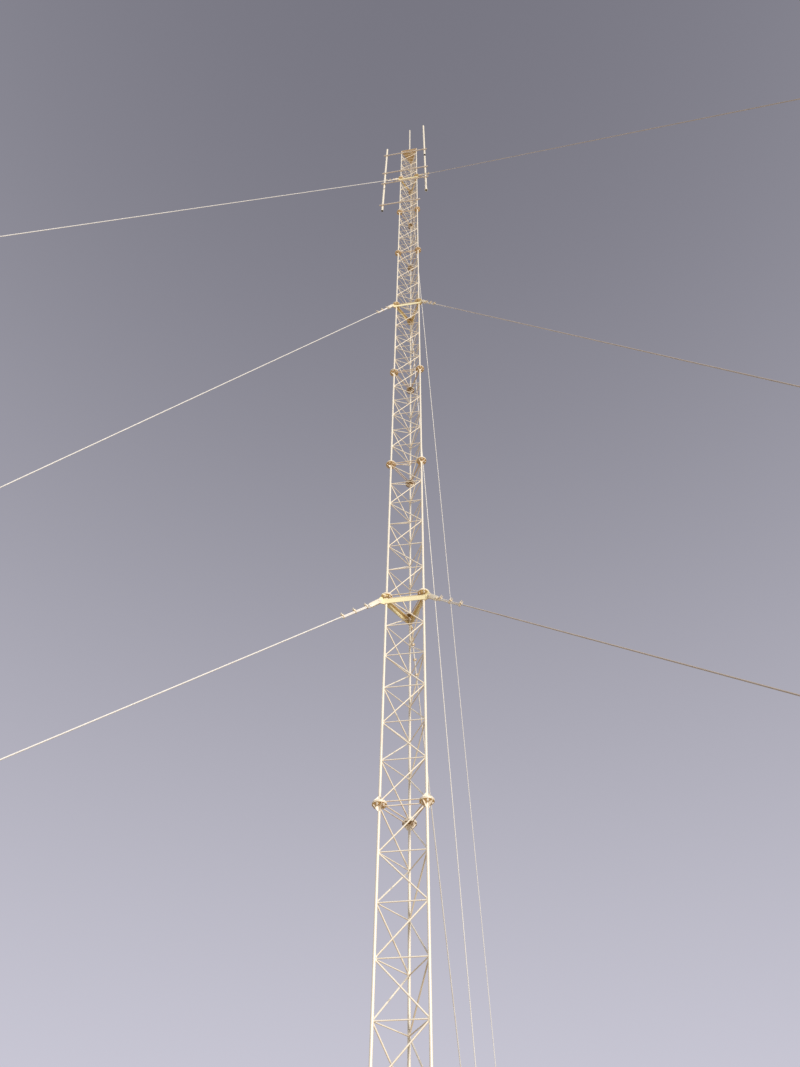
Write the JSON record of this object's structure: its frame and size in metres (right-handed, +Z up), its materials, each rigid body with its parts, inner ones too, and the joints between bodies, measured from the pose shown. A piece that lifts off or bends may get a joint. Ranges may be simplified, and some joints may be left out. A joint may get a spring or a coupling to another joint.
{
  "type": "guyed lattice wind measurement mast",
  "caption": "Tall three-legged lattice mast in bolted sections, held by wire stays on three rings, with open side poles and a top pole for wind instruments.",
  "frame": {"origin": "centre of the base plate's underside, on the mast's axis at ground level", "axes": "+Z up along the mast; the legs stand at 210, 330 and 90 degrees about it, and -Y is the face between the left and right legs"},
  "size_m": [29.1618, 25.2549, 33.18],
  "materials": {
    "mast_steel": "weathered cream-white galvanised steel with rusty joints",
    "bracket_steel": "galvanised steel gone pale yellow, rusty underneath",
    "stay_wire": "stranded galvanised wire",
    "fitting_steel": "galvanised fittings",
    "plate_steel": "weathered steel plate with brown rust",
    "arm_steel": "weathered steel bar",
    "pole_steel": "cream-white galvanised pipe"
  },
  "bodies": {
    "root": {"base_plate": "plate_steel", "inner_anchor_left": "plate_steel", "inner_anchor_rear": "plate_steel", "inner_anchor_right": "plate_steel", "left_pole": "pole_steel", "left_pole_arms": "arm_steel", "lower_stay_left": "stay_wire", "lower_stay_rear": "stay_wire", "lower_stay_right": "stay_wire", "lower_stay_ring": "bracket_steel", "lower_turnbuckle_left": "fitting_steel", "lower_turnbuckle_rear": "fitting_steel", "lower_turnbuckle_right": "fitting_steel", "mast_section_01": "mast_steel", "mast_section_02": "mast_steel", "mast_section_03": "mast_steel", "mast_section_04": "mast_steel", "mast_section_05": "mast_steel", "mast_section_06": "mast_steel", "mast_section_07": "mast_steel", "mast_section_08": "mast_steel", "mast_section_09": "mast_steel", "mast_section_10": "mast_steel", "middle_stay_left": "stay_wire", "middle_stay_rear": "stay_wire", "middle_stay_right": "stay_wire", "middle_stay_ring": "bracket_steel", "middle_turnbuckle_left": "fitting_steel", "middle_turnbuckle_rear": "fitting_steel", "middle_turnbuckle_right": "fitting_steel", "outer_anchor_left": "plate_steel", "outer_anchor_rear": "plate_steel", "outer_anchor_right": "plate_steel", "right_pole_arms": "arm_steel", "right_pole_lower": "pole_steel", "right_pole_upper": "pole_steel", "top_plate": "plate_steel", "top_pole": "pole_steel", "upper_stay_left": "stay_wire", "upper_stay_rear": "stay_wire", "upper_stay_right": "stay_wire", "upper_stay_ring": "bracket_steel", "upper_turnbuckle_left": "fitting_steel", "upper_turnbuckle_rear": "fitting_steel", "upper_turnbuckle_right": "fitting_steel"}
  },
  "joints": []
}
